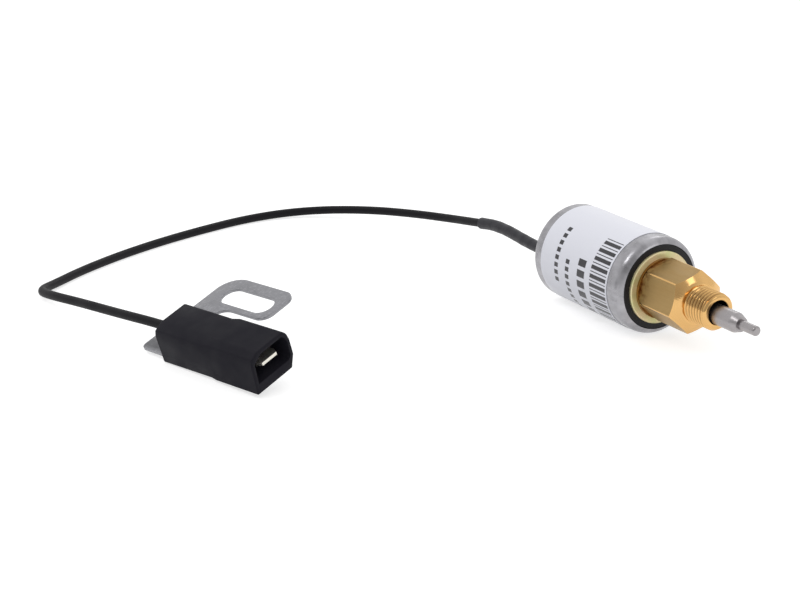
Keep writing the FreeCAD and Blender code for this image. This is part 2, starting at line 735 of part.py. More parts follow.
def make_blade_terminal():
    """Tinned blade with chamfered corners, folded at its root into a crimp round the lead."""
    body = connector_body("blade_terminal")
    plan = new_sketch(body, "blade_outline", "XY_Plane", offset="blade_height")
    middle, half, neck = "terminal_across", "blade_width / 2", "terminal_neck / 2"
    tip = "shell_length - blade_recess"
    root = tip + " - blade_length"
    crimp_end = "crimp_length - terminal_neck"
    shoulder, narrow = tip + " - blade_taper", half + " - blade_chamfer"
    outline(plan, [
        (crimp_end, "%s - %s" % (middle, neck)), (root, "%s - %s" % (middle, neck)),
        (root + " + 1", "%s - %s" % (middle, half)), (shoulder, "%s - %s" % (middle, half)),
        (tip, "%s - (%s)" % (middle, narrow)), (tip, "%s + %s" % (middle, narrow)),
        (shoulder, "%s + %s" % (middle, half)), (root + " + 1", "%s + %s" % (middle, half)),
        (root, "%s + %s" % (middle, neck)), (crimp_end, "%s + %s" % (middle, neck)),
    ])
    extrude(body, "blade", plan, "blade_thickness", both=True)
    barrel = new_sketch(body, "crimp_outline", "YZ_Plane", offset="-terminal_neck / 2")
    circle(barrel, middle, CRIMP_HEIGHT, "lead_diameter + crimp_wall * 2 + glue_line * 2")
    extrude(body, "crimp", barrel, "crimp_length")
    hollow = new_sketch(body, "crimp_hollow", "YZ_Plane", offset="terminal_neck + glue_line")
    circle(hollow, middle, CRIMP_HEIGHT, "lead_diameter + glue_line * 2")
    extrude(body, "crimp_bore", hollow, "crimp_length", cut=True)
    return body


def make_connector_bracket():
    """Flat steel bracket: a slotted ring and a tongue that slides under the connector."""
    body = connector_body("connector_bracket")
    plan = new_sketch(body, "bracket_outline", "XY_Plane", offset="bracket_lift")
    web = "bracket_left + bracket_web"
    corners = [
        ("bracket_left", "tongue_front"), ("tongue_end", "tongue_front"), ("tongue_end", "tongue_back"),
        (web, "tongue_back"), (web, "ring_front"), ("bracket_right", "ring_front"),
        ("bracket_right", "bracket_back"), ("bracket_left", "bracket_back"),
    ]
    outline(plan, corners)
    extrude(body, "bracket_blank", plan, "bracket_thickness")
    dress(body, "Fillet", "bracket_back_round", upright_edges(body, [corners[7]]), "bracket_back_corner")
    dress(body, "Fillet", "bracket_right_round", upright_edges(body, corners[5:7]), "bracket_right_corner")
    dress(body, "Fillet", "bracket_front_round", upright_edges(body, corners[:3]), "bracket_front_corner")
    dress(body, "Fillet", "root_round", upright_edges(body, [corners[3]]), "root_corner")
    dress(body, "Fillet", "notch_round", upright_edges(body, [corners[4]]), "notch_corner")
    slot = new_sketch(body, "slot_outline", "XY_Plane", offset="bracket_lift")
    near, far = "slot_start", "slot_start + slot_length"
    back = "slot_front + slot_width"
    slot_corners = [(near, "slot_front"), (far, "slot_front"), (far, back), (near, back)]
    outline(slot, slot_corners)
    extrude(body, "slot", slot, "bracket_thickness * 3", cut=True, both=True)
    dress(body, "Fillet", "slot_ends", upright_edges(body, slot_corners), "slot_width * 0.49")
    return body


def check(pieces):
    """Stops if any object failed, or any piece is empty or not valid."""
    for item in document.Objects:
        if "Invalid" in item.State or "Error" in item.State:
            raise RuntimeError("%s failed: %s" % (item.Name, item.State))
    for piece in pieces:
        if piece.Shape.isNull() or not piece.Shape.isValid() or not piece.Shape.Solids:
            raise RuntimeError("%s has no valid solid" % piece.Label)


def build():
    """Makes every piece of the solenoid, its lead and its connector."""
    pieces = [
        make_can(), make_label(), make_front_flange(), make_seal_ring(), make_brass_body(),
        make_plunger(), make_return_spring(), make_pole_stop(), make_rear_washer(),
        make_splice_insulator(), make_bobbin(), make_coil_winding(), make_coil_tape(),
        make_lead_grommet(), make_splice_crimp(), make_connector_housing(),
        make_blade_terminal(), make_connector_bracket(),
    ]
    pieces += make_lead()
    document.recompute()
    check(pieces)
    return pieces


def write(pieces):
    """Writes each piece to a file of its own."""
    os.makedirs("parts", exist_ok=True)
    for piece in pieces:
        solids = piece.Shape.Solids
        shape = solids[0] if len(solids) == 1 else piece.Shape
        shape.exportStep("parts/%s.step" % piece.Label)
        print("%-20s solids %d volume %.1f" % (piece.Label, len(solids), shape.Volume))


write(build())
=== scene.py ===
import json
import math

import bmesh
import bpy
from mathutils import Matrix, Vector

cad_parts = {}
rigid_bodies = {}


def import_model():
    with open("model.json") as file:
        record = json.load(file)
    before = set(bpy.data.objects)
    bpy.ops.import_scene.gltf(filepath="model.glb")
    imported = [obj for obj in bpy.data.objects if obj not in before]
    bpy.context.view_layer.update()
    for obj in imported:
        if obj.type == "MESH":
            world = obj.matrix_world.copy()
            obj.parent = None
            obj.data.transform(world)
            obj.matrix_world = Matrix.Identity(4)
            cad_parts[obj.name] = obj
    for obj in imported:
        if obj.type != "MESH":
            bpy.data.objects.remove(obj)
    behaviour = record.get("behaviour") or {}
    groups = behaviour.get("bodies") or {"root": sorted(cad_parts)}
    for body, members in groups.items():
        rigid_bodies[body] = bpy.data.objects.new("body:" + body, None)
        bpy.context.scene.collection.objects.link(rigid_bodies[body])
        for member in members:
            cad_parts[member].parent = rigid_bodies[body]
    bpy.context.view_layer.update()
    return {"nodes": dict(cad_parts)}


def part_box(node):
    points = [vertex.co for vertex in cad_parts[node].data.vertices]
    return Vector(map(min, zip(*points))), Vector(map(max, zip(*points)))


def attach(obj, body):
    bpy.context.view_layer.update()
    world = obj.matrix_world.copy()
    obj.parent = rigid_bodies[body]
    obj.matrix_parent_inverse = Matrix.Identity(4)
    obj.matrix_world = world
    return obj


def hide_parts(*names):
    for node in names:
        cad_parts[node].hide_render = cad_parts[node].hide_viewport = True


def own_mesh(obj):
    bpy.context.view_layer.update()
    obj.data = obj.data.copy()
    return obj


bl_info = {
    "name": "Fuel shut-off solenoid",
    "version": (1, 0, 0),
    "blender": (4, 5, 0),
    "location": "View3D > Sidebar > Solenoid",
    "description": "Dresses a fuel shut-off solenoid, its lead, connector and bracket",
    "category": "Object",
}

MM = 0.001

# An empty scene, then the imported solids
for start_object in list(bpy.data.objects):
    bpy.data.objects.remove(start_object)
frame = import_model()
NODES = frame["nodes"]


def paint(red, green, blue):
    """A display colour, 0 to 255, as the linear colour that the finishes hold."""
    return tuple(((value / 255 + 0.055) / 1.055) ** 2.4 for value in (red, green, blue))


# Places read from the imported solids: the axis is level, along X, through the middle of the can
CAN_LOW, CAN_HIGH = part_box("can")
PLUNGER_LOW, PLUNGER_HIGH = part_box("plunger")
AXIS_HEIGHT = (CAN_LOW.z + CAN_HIGH.z) / 2
PLUNGER_HEIGHT = (PLUNGER_LOW.z + PLUNGER_HIGH.z) / 2
LABEL_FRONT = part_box("label")[1].x
NOSE_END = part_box("brass_body")[1].x

# The lead's route in metres, from the splice inside the can to the crimp in the connector. The
# points of its return run are placed for a straight run into the connector.
LEAD_ROUTE = [
    (-0.03495, 0.0, 0.00922),
    (-0.04695, 0.0, 0.00922),
    (-0.0560, -0.0006, 0.0092),
    (-0.0736, 0.0001, 0.0102),
    (-0.0847, -0.0007, 0.0086),
    (-0.0982, -0.0012, 0.0065),
    (-0.1121, -0.0051, 0.0051),
    (-0.1257, -0.0114, 0.0038),
    (-0.1376, -0.0205, 0.0024),
    (-0.1440, -0.0318, 0.0015),
    (-0.1444, -0.0458, 0.00125),
    (-0.1406, -0.0615, 0.0012),
    (-0.1353, -0.0776, 0.0012),
    (-0.1283, -0.0937, 0.0012),
    (-0.1202, -0.1082, 0.0012),
    (-0.1136, -0.1174, 0.00125),
    (-0.1074, -0.1249, 0.0019),
    (-0.0982, -0.1248, 0.0032),
    (-0.0850, -0.1220, 0.0046),
    (-0.0672, -0.1184, 0.0062),
    (-0.05120, -0.11368, 0.0072),
    (-0.04250, -0.11138, 0.00743),
]


def length(name, default, description):
    """A size in metres that a user may change."""
    return bpy.props.FloatProperty(
        name=name, description=description, default=default, min=0.0, unit="LENGTH", precision=5)


def colour(name, default, description):
    """A colour that a user may change."""
    return bpy.props.FloatVectorProperty(
        name=name, description=description, default=default, size=3, min=0.0, max=1.0,
        subtype="COLOR")


def share(name, default, description):
    """A share from 0 to 1 that a user may change."""
    return bpy.props.FloatProperty(
        name=name, description=description, default=default, min=0.0, max=1.0, subtype="FACTOR")


class CanSettings(bpy.types.PropertyGroup):
    """Finish of the can, its label, the seal and the flange."""

    zinc: colour("Zinc plate", paint(162, 161, 165), "Colour of the plated can")
    zinc_roughness: share("Zinc roughness", 0.3, "How dull the plated can is")
    film: colour("Label film", paint(226, 227, 236), "Colour of the label")
    ink: colour("Label ink", paint(30, 28, 36), "Colour of the label's print")
    rubber: colour("Rubber", paint(20, 20, 23), "Colour of the seal and the grommet")
    chromate: colour("Chromate", paint(226, 214, 164), "Colour of the flange's yellow plate")
    bar_width: length("Bar band", 6.8 * MM, "Width of the label's band of plain bars")


class BrassSettings(bpy.types.PropertyGroup):
    """Sizes and finish of the brass body and the plunger."""

    brass: colour("Brass", paint(220, 176, 114), "Colour of the turned brass")
    # The flats' colour is a darker copy of the brass: painted shade for the dim reflection that the
    # flats show of the photographer's side.
    flats: colour("Drawn flats", paint(172, 143, 95), "Colour of the hexagon's flats")
    shade_brown: colour("Brown brass", paint(112, 72, 34), "Colour of the thread's roots and the collar")
    # Painted shade: the darker, browner colour that the thread's roots, the bore, the collar and
    # the flats' back ends are tinted toward.
    steel: colour("Plunger steel", paint(160, 156, 157), "Colour of the plunger")
    pitch: length("Thread pitch", 1.058 * MM, "Distance from one thread crest to the next")
    depth: length("Thread depth", 0.56 * MM, "Depth of the thread")
    end_chamfer: length("End chamfer", 0.85 * MM, "Chamfer on the end of the nose")
    thread_start: length("Thread start", 7.4 * MM, "Where the undercut begins, back from the nose")
    undercut: length("Undercut", 0.8 * MM, "Width of the round undercut behind the thread")
    corner_round: length("Corner round", 0.22 * MM, "Rounding of the hexagon's corners")
    hexagon_back: length("Hexagon back", 22.0 * MM, "Where the hexagon begins, back from the nose")


class LeadSettings(bpy.types.PropertyGroup):
    """Sizes and finish of the lead and its shrunk sleeve."""

    diameter: length("Lead diameter", 2.4 * MM, "Outer diameter of the lead")
    sleeve_wall: length("Sleeve wall", 0.43 * MM, "Wall of the shrunk sleeve")
    sleeve_length: length("Sleeve length", 44.4 * MM, "Length of the sleeve behind the can")
    lead: colour("Lead", paint(19, 18, 22), "Colour of the lead's insulation")
    sleeve: colour("Sleeve", paint(38, 37, 43), "Colour of the shrunk sleeve")


class ConnectorSettings(bpy.types.PropertyGroup):
    """Sizes and finish of the connector and its bracket."""

    plastic: colour("Plastic", paint(24, 23, 31), "Colour of the moulded housing")
    edge_round: length("Edge round", 0.46 * MM, "Rounding of the housing's outer edges")
    mouth_round: length("Mouth round", 0.18 * MM, "Rounding of the edges round the mouth")
    tin: colour("Tin plate", paint(226, 222, 212), "Colour of the blade")
    steel: colour("Bracket steel", paint(146, 146, 150), "Colour of the bracket")
    sheet_edge: length("Sheet edge", 0.1 * MM, "Rounding of the bracket's edges")


class StageSettings(bpy.types.PropertyGroup):
    """Floor, lights and camera."""

    floor: colour("Floor", (0.6, 0.6, 0.6), "Colour of the floor in plain light")
    glow: share("Floor glow", 0.64, "How much whiter the floor is where it is looked at")
    world: share("World light", 0.8, "Strength of the light from all round")
    dim_side: share("Dim side", 0.5, "Brightness that gloss shows on the photographer's side")
    key: bpy.props.FloatProperty(name="Key light", description="Power of the key light",
                                 default=1.3, min=0.0, unit="POWER")
    fill: bpy.props.FloatProperty(name="Fill light", description="Power of the fill light",
                                  default=0.35, min=0.0, unit="POWER")
    lens: bpy.props.FloatProperty(name="Lens", description="Focal length in millimetres",
                                  default=90.0, min=1.0, unit="CAMERA")


SETTINGS = {
    "solenoid_can": CanSettings,
    "solenoid_brass": BrassSettings,
    "solenoid_lead": LeadSettings,
    "solenoid_connector": ConnectorSettings,
    "solenoid_stage": StageSettings,
}


class Finish:
    """A material's node tree while it is being put together."""

    def __init__(self, name, base, metallic=0.0, roughness=0.5):
        self.material = bpy.data.materials.new(name)
        self.material.use_nodes = True
        self.tree = self.material.node_tree
        self.shader = self.tree.nodes["Principled BSDF"]
        self.put("Base Color", (*base, 1.0))
        self.put("Metallic", metallic)
        self.put("Roughness", roughness)
        self.base = self.under = base

    def put(self, socket, value):
        """Sets one of the shader's sockets to a value or to a node's output."""
        self.wire(self.shader.inputs[socket], value)

    def wire(self, socket, value):
        """Sets a socket to a value, or links an output to it."""
        if isinstance(value, bpy.types.NodeSocket):
            self.tree.links.new(value, socket)
        else:
            socket.default_value = value

    def node(self, kind, inputs, **settings):
        """Adds a node with its settings and inputs, and returns it."""
        node = self.tree.nodes.new("ShaderNode" + kind)
        for name, value in settings.items():
            setattr(node, name, value)
        for socket, value in inputs.items():
            self.wire(node.inputs[socket], value)
        return node

    def place(self, centre=(0.0, 0.0, 0.0), scale=(1.0, 1.0, 1.0), turn=(0.0, 0.0, 0.0)):
        """Object coordinates from a centre, turned and then scaled."""
        place = self.node("TexCoord", {}).outputs["Object"]
        moved = self.node("VectorMath", {0: place, 1: centre}, operation="SUBTRACT").outputs[0]
        turned = self.node("Mapping", {"Vector": moved, "Rotation": turn, "Scale": scale})
        return turned.outputs[0]

    def maths(self, operation, first, second=0.0):
        """One step of arithmetic."""
        return self.node("Math", {0: first, 1: second}, operation=operation).outputs[0]

    def plus(self, first, second):
        """The sum of two values."""
        return self.maths("ADD", first, second)

    def times(self, first, second):
        """The product of two values."""
        return self.maths("MULTIPLY", first, second)

    def within(self, value, low, high):
        """1 where a value lies between two limits, otherwise 0."""
        above = self.maths("GREATER_THAN", value, low)
        return self.times(above, self.maths("LESS_THAN", value, high))

    def noise(self, vector, scale, detail=3.0, roughness=0.5):
        """Noise from 0 to 1."""
        inputs = {"Vector": vector, "Scale": scale, "Detail": detail, "Roughness": roughness}
        return self.node("TexNoise", inputs).outputs["Fac"]

    def span(self, value, low, high, start=0.0, end=1.0):
        """A value carried from one range to another and held at its ends."""
        inputs = {"Value": value, "From Min": low, "From Max": high, "To Min": start, "To Max": end}
        return self.node("MapRange", inputs).outputs["Result"]

    def blend(self, amount, first, second):
        """A mix of two colours."""
        node = self.node("Mix", {"Factor": amount}, data_type="RGBA")
        for socket, value in zip((node.inputs[6], node.inputs[7]), (first, second)):
            solid = value if isinstance(value, bpy.types.NodeSocket) else (*value[:3], 1.0)
            self.wire(socket, solid)
        return node.outputs[2]

    def bump(self, height, distance, normal=None):
        """Relief of a height from 0 to 1, its depth in metres, on top of an earlier one."""
        node = self.node("Bump", {"Height": height, "Distance": distance, "Strength": 1.0})
        if normal is not None:
            self.wire(node.inputs["Normal"], normal)
        self.put("Normal", node.outputs[0])
        return node.outputs[0]

    def shades(self, amount, dark, light):
        """Base colour that wanders between a darker and a lighter shade."""
        low = tuple(value * dark for value in self.base)
        high = tuple(min(1.0, value * light) for value in self.base)
        self.tint(self.blend(amount, low, high))

    def tint(self, colour):
        """Sets the base colour, and keeps it for a later mark over it."""
        self.put("Base Color", colour)
        self.under = colour

    def polar(self, height):
        """Along the axis, out from it and round it, as three outputs in metres and turns."""
        parts = self.node("SeparateXYZ", {"Vector": self.place(centre=(0.0, 0.0, height))})
        along, across, up = parts.outputs
        out = self.maths("SQRT", self.plus(self.times(across, across), self.times(up, up)))
        turns = self.maths("DIVIDE", self.maths("ARCTAN2", across, up), math.tau)
        return along, out, turns

    def vector(self, first, second, third):
        """Three outputs as one vector."""
        return self.node("CombineXYZ", {0: first, 1: second, 2: third}).outputs[0]


def dress(piece, *finishes):
    """Gives a piece its materials, in slot order."""
    slots = piece.data.materials
    for index, item in enumerate(finishes):
        if index < len(slots):
            slots[index] = item.material
        else:
            slots.append(item.material)


def turned_finish(name, base, height, roughness, line_depth):
    """Lathe-turned metal: fine rings about the axis, on round and end faces alike."""
    item = Finish(name, base, 1.0, roughness)
    along, out, turns = item.polar(height)
    rings = item.noise(item.vector(along, out, item.times(turns, 0.0004)), 9000.0, detail=2.0)
    cloud = item.noise(item.place(), 260.0, detail=2.0)
    item.shades(item.span(item.plus(rings, cloud), 0.6, 1.4), 0.9, 1.06)
    item.put("Roughness", item.span(cloud, 0.3, 0.7, roughness * 0.8, roughness * 1.25))
    item.bump(rings, line_depth)
    return item


def drawn_finish(name, base, roughness, line_depth, metallic=1.0):
    """Drawn bar: fine lines along the axis."""
    item = Finish(name, base, metallic, roughness)
    lines = item.noise(item.place(scale=(0.03, 1.0, 1.0)), 7000.0, detail=2.0)
    cloud = item.noise(item.place(scale=(0.4, 1.0, 1.0)), 420.0, detail=3.0)
    item.shades(item.span(item.plus(lines, cloud), 0.6, 1.4), 0.9, 1.05)
    item.put("Roughness", item.span(cloud, 0.3, 0.7, roughness * 0.8, roughness * 1.3))
    item.bump(lines, line_depth)
    return item


def moulded_finish(name, base, roughness, grain_depth=6e-6, grain=5200.0, specular=0.5):
    """Moulded plastic or rubber: a fine even grain and slow changes of sheen."""
    item = Finish(name, base, 0.0, roughness)
    item.put("Specular IOR Level", specular)
    grains = item.noise(item.place(), grain, detail=3.0)
    cloud = item.noise(item.place(), 150.0, detail=2.0)
    item.shades(cloud, 0.86, 1.14)
    item.put("Roughness", item.span(cloud, 0.25, 0.75, roughness * 0.85, roughness * 1.2))
    item.bump(grains, grain_depth)
    return item


def new_piece(name, mesh_build):
    """An object made from a bmesh, smooth shaded, riding on the housing."""
    data = bpy.data.meshes.new(name)
    mesh_build.to_mesh(data)
    mesh_build.free()
    if "custom_normal" in data.attributes:
        data.attributes.remove(data.attributes["custom_normal"])
    data.shade_smooth()
    piece = bpy.data.objects.new(name, data)
    bpy.context.scene.collection.objects.link(piece)
    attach(piece, "housing")
    return piece


def merged_copy(node):
    """A bmesh of a node's shape with its loose triangles joined into whole faces."""
    flat_angle = math.radians(0.6)
    build = bmesh.new()
    build.from_mesh(NODES[node].data)
    bmesh.ops.remove_doubles(build, verts=build.verts, dist=1e-6)
    bmesh.ops.dissolve_limit(
        build, angle_limit=flat_angle, verts=build.verts, edges=build.edges)
    return build


def sharp_edges(build, sharp_angle=24.0):
    """The edges where two faces meet at more than an angle, in degrees."""
    return [edge for edge in build.edges
            if len(edge.link_faces) == 2 and edge.calc_face_angle(0.0) > math.radians(sharp_angle)]


def round_edges(build, edges, radius, segments=3, clamp=True):
    """Rounds edges with a small radius."""
    bmesh.ops.bevel(build, geom=edges, offset=radius, offset_type="OFFSET", segments=segments,
                    profile=0.5, affect="EDGES", material=-1, clamp_overlap=clamp)


class SOLENOID_OT_can(bpy.types.Operator):
    """Finishes the plated can, its label, the seal ring and the flange"""

    bl_idname = "solenoid.can"
    bl_label = "Dress the can"

    BARS_START = 0.6 * MM

    def execute(self, context):
        settings = context.scene.solenoid_can
        dress(NODES["can"], self.zinc(settings))
        dress(NODES["label"], self.label(settings))
        dress(NODES["front_flange"], self.chromate(settings))
        rubber = moulded_finish("black_rubber", settings.rubber, 0.5, 8e-6, specular=0.3)
        dress(NODES["seal_ring"], rubber)
        dress(NODES["lead_grommet"], rubber)
        return {"FINISHED"}

    def zinc(self, settings):
        """Drawn and plated steel: faint draw lines along the wall, rings on the rolled rim."""
        rough = settings.zinc_roughness
        item = Finish("zinc_plate", settings.zinc, 1.0, rough)
        along, out, turns = item.polar(AXIS_HEIGHT)
        drawn = item.vector(item.times(along, 9.0), out, item.times(turns, 1.2))
        draws = item.noise(drawn, 34.0, detail=4.0, roughness=0.6)
        rolled = item.vector(along, out, item.times(turns, 0.0008))
        rings = item.noise(rolled, 4200.0, detail=2.0)
        cloud = item.noise(item.place(), 190.0, detail=3.0)
        item.shades(item.span(item.plus(draws, cloud), 0.75, 1.25), 0.78, 1.16)
        item.put("Roughness", item.span(cloud, 0.3, 0.7, rough * 0.8, rough * 1.3))
        item.bump(rings, 1.2e-6, normal=item.bump(cloud, 2e-5))
        return item

    def label_rows(self, settings):
        """The label's rows of plain marks, one even rhythm in each.

        Each row has its near and far edge back from the label's front, its first and last place
        round the can in turns, its marks to a turn, and the white share of each step.
        """
        bars, bars_end = self.BARS_START, self.BARS_START + settings.bar_width
        return [
            (bars, bars_end, 3 / 34, 14 / 34, 34.0, 0.58),
            (bars, bars_end, 9 / 102, 42 / 102, 102.0, 0.68),
            (9.7 * MM, 12.9 * MM, 5 / 28, 12 / 28, 28.0, 0.34),
            (16.6 * MM, 18.2 * MM, 8 / 40, 16 / 40, 40.0, 0.4),
            (21.4 * MM, 23.0 * MM, 4 / 40, 12 / 40, 40.0, 0.4),
        ]

    def label(self, settings):
        """White film with a band of plain bars, a row of blocks and two rows of dashes."""
        item = Finish("label_film", settings.film, 0.0, 0.34)
        along, _, turns = item.polar(AXIS_HEIGHT)
        back = item.maths("SUBTRACT", LABEL_FRONT, along)
        round_can = item.times(turns, -1.0)
        ink = 0.0
        for near, far, first, last, count, white in self.label_rows(settings):
            area = item.times(item.within(back, near, far), item.within(round_can, first, last))
            step = item.maths("FRACT", item.times(round_can, count))
            row = item.times(area, item.maths("GREATER_THAN", step, white))
            ink = item.maths("MAXIMUM", ink, row)
        item.put("Base Color", item.blend(ink, settings.film, settings.ink))
        item.put("Coat Weight", 0.15)
        item.bump(item.noise(item.place(), 900.0, detail=2.0), 3e-6)
        return item

    def chromate(self, settings):
        """Faced steel under yellow chromate: fine facing lines and a faint change of tint."""
        green, pink = paint(208, 210, 150), paint(236, 216, 176)
        item = Finish("yellow_chromate", settings.chromate, 0.55, 0.46)
        along, out, turns = item.polar(AXIS_HEIGHT)
        spread = item.vector(item.times(turns, 5.0), item.times(out, 12.0), along)
        spokes = item.noise(spread, 70.0, detail=3.0, roughness=0.7)
        faced = item.vector(out, along, item.times(turns, 0.001))
        rings = item.noise(faced, 5200.0, detail=2.0)
        cloud = item.noise(item.place(), 240.0, detail=2.0)
        tinted = item.blend(item.span(item.plus(spokes, cloud), 0.85, 1.15), green, pink)
        lines = item.span(rings, 0.35, 0.65, 0.0, 0.35)
        item.put("Base Color", item.blend(lines, tinted, settings.chromate))
        item.bump(rings, 3e-6, normal=item.bump(spokes, 2e-5))
        return item


class SOLENOID_OT_brass(bpy.types.Operator):
    """Builds the brass body with its cut thread, and finishes the plunger"""

    bl_idname = "solenoid.brass"
    bl_label = "Turn the brass body"

    SEGMENTS = 128
    RINGS_PER_PITCH = 18
    THREAD_RADIUS = 4.7625 * MM
    BORE_RADIUS = 3.1 * MM
    WALL_RADIUS = 4.0 * MM
    END_FACE = 0.12 * MM
    FLAT_AREA = 30 * MM * MM
    JOIN_GAP = 0.06 * MM

    def execute(self, context):
        settings = context.scene.solenoid_brass
        body = new_piece("brass_threaded_body", self.threaded_body(settings))
        dress(body, self.turned_brass(settings), self.drawn_brass(settings))
        body.data.set_sharp_from_angle(angle=math.radians(35))
        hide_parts("brass_body")
        steel = turned_finish("plunger_steel", settings.steel, PLUNGER_HEIGHT, 0.3, 3e-6)
        dress(NODES["plunger"], steel)
        return {"FINISHED"}

    def turned_brass(self, settings):
        """Turned brass: bright on the crests, with painted shade, darker and browner, in the
        thread's roots, the bore and on the collar.
        """
        item = turned_finish("turned_brass", settings.brass, AXIS_HEIGHT, 0.16, 2e-6)
        along, out, _ = item.polar(AXIS_HEIGHT)
        crest, chamfer = self.THREAD_RADIUS, settings.end_chamfer
        start, back = NOSE_END - settings.thread_start, NOSE_END - settings.hexagon_back
        # Painted shade: the thread's roots and the bore take a darker, browner tone, and so does
        # the collar behind the hexagon, where the flange shades it.
        root = item.span(out, crest - 0.1 * MM, crest - settings.depth, 0.0, 0.9)
        threaded = item.span(along, start, start + 0.2 * MM)
        before_end = item.span(along, NOSE_END - chamfer, NOSE_END - chamfer * 0.7, 1.0, 0.0)
        collar = item.span(along, back, back + 0.3 * MM, 0.7, 0.0)
        shade_brown = item.maths("MAXIMUM", collar, item.times(root, item.times(threaded, before_end)))
        item.tint(item.blend(shade_brown, item.under, settings.shade_brown))
        return item

    def drawn_brass(self, settings):
        """The hexagon's flats: drawn lines on a darker copy of the brass colour, which is painted
        shade, and patches of painted shade toward the collar.
        """
        item = drawn_finish("drawn_brass", settings.flats, 0.44, 6e-6)
        along, _, _ = item.polar(AXIS_HEIGHT)
        back = NOSE_END - settings.hexagon_back
        # Painted shade: in patches, the flats darken to a browner tone over their last 3.5 mm
        # before the collar.
        near = item.span(along, back, back + 3.5 * MM, 1.0, 0.0)
        patches = item.span(item.noise(item.place(), 900.0, detail=3.0), 0.45, 0.65)
        item.tint(item.blend(item.times(near, patches), item.under, settings.shade_brown))
        return item

    def threaded_body(self, settings):
        """The body cut off behind the thread, with a new threaded end joined on."""
        build = merged_copy("brass_body")
        start = NOSE_END - settings.thread_start
        bmesh.ops.bisect_plane(
            build, geom=build.verts[:] + build.edges[:] + build.faces[:], dist=1e-7,
            plane_co=(start - self.JOIN_GAP, 0.0, 0.0), plane_no=(1.0, 0.0, 0.0), clear_outer=True)
        corners = [edge for edge in sharp_edges(build, 30.0)
                   if all(self.is_flat(face) for face in edge.link_faces)]
        round_edges(build, corners, settings.corner_round, segments=2)
        for face in build.faces:
            if self.is_flat(face):
                face.material_index = 1
        self.spin_nose(build, settings, start)
        self.cut_thread(build, settings, start)
        open_edges = [edge for edge in build.edges if edge.is_boundary]
        outer = [edge for edge in open_edges if self.radius(edge.verts[0].co) > self.WALL_RADIUS]
        inner = [edge for edge in open_edges if self.radius(edge.verts[0].co) <= self.WALL_RADIUS]
        for ring in (outer, inner):
            bmesh.ops.bridge_loops(build, edges=ring)
        bmesh.ops.recalc_face_normals(build, faces=build.faces)
        return build

    def is_flat(self, face):
        """Whether a face is one of the hexagon's flats."""
        return abs(face.normal.x) < 0.01 and face.calc_area() > self.FLAT_AREA

    def radius(self, point):
        """Distance of a point from the axis."""
        return math.hypot(point.y, point.z - AXIS_HEIGHT)

    def spin_nose(self, build, settings, start):
        """Spins the end's profile about the axis, with rings close enough for the thread."""
        crest, bore, end_face = self.THREAD_RADIUS, self.BORE_RADIUS, self.END_FACE
        chamfer = settings.end_chamfer
        zone = settings.thread_start - chamfer
        count = int(zone / settings.pitch * self.RINGS_PER_PITCH)
        profile = [(start + zone * step / count, crest) for step in range(count + 1)]
        profile += [
            (NOSE_END - chamfer * 0.5, crest - chamfer * 0.22),
            (NOSE_END - end_face, crest - chamfer * 0.62),
            (NOSE_END, crest - chamfer * 0.85),
            (NOSE_END, bore + end_face),
            (NOSE_END - end_face, bore),
            (start, bore),
        ]
        verts = [build.verts.new((x, 0.0, AXIS_HEIGHT + radius)) for x, radius in profile]
        edges = [build.edges.new(pair) for pair in zip(verts, verts[1:])]
        bmesh.ops.spin(
            build, geom=verts + edges, cent=(0.0, 0.0, AXIS_HEIGHT), axis=(1.0, 0.0, 0.0),
            dvec=(0.0, 0.0, 0.0), angle=math.tau, steps=self.SEGMENTS, use_merge=True)
        near = [vert for vert in build.verts if vert.co.x > start - 1e-6]
        bmesh.ops.remove_doubles(build, verts=near, dist=1e-7)

    def cut_thread(self, build, settings, start):
        """Sinks the helical thread and the undercut behind it into the nose."""
        for vert in build.verts:
            radius = self.radius(vert.co)
            if vert.co.x < start - 1e-6 or radius < self.WALL_RADIUS:
                continue
            scale = (radius - settings.depth * self.cut_share(vert.co, settings, start)) / radius
            vert.co.y *= scale
            vert.co.z = AXIS_HEIGHT + (vert.co.z - AXIS_HEIGHT) * scale

    def cut_share(self, point, settings, start):
        """How deep the cut is at a point, as a share of the thread's depth."""
        pitch = settings.pitch
        first_crest = start + settings.undercut
        last_crest = NOSE_END - settings.end_chamfer * 0.3
        turns = math.atan2(point.y, point.z - AXIS_HEIGHT) / math.tau
        phase = ((point.x - first_crest) / pitch + turns) % 1.0
        groove = min(1.0, max(0.0, 1.25 * (1.0 - abs(2.0 * phase - 1.0)) - 0.12))
        fade_in = min(1.0, max(0.0, (point.x - first_crest) / (pitch * 0.35)))
        fade_out = min(1.0, max(0.0, (last_crest - point.x) / (pitch * 0.6)))
        behind = min(1.0, (point.x - start) / settings.undercut)
        return max(groove * fade_in * fade_out, 0.85 * math.sin(math.pi * behind))


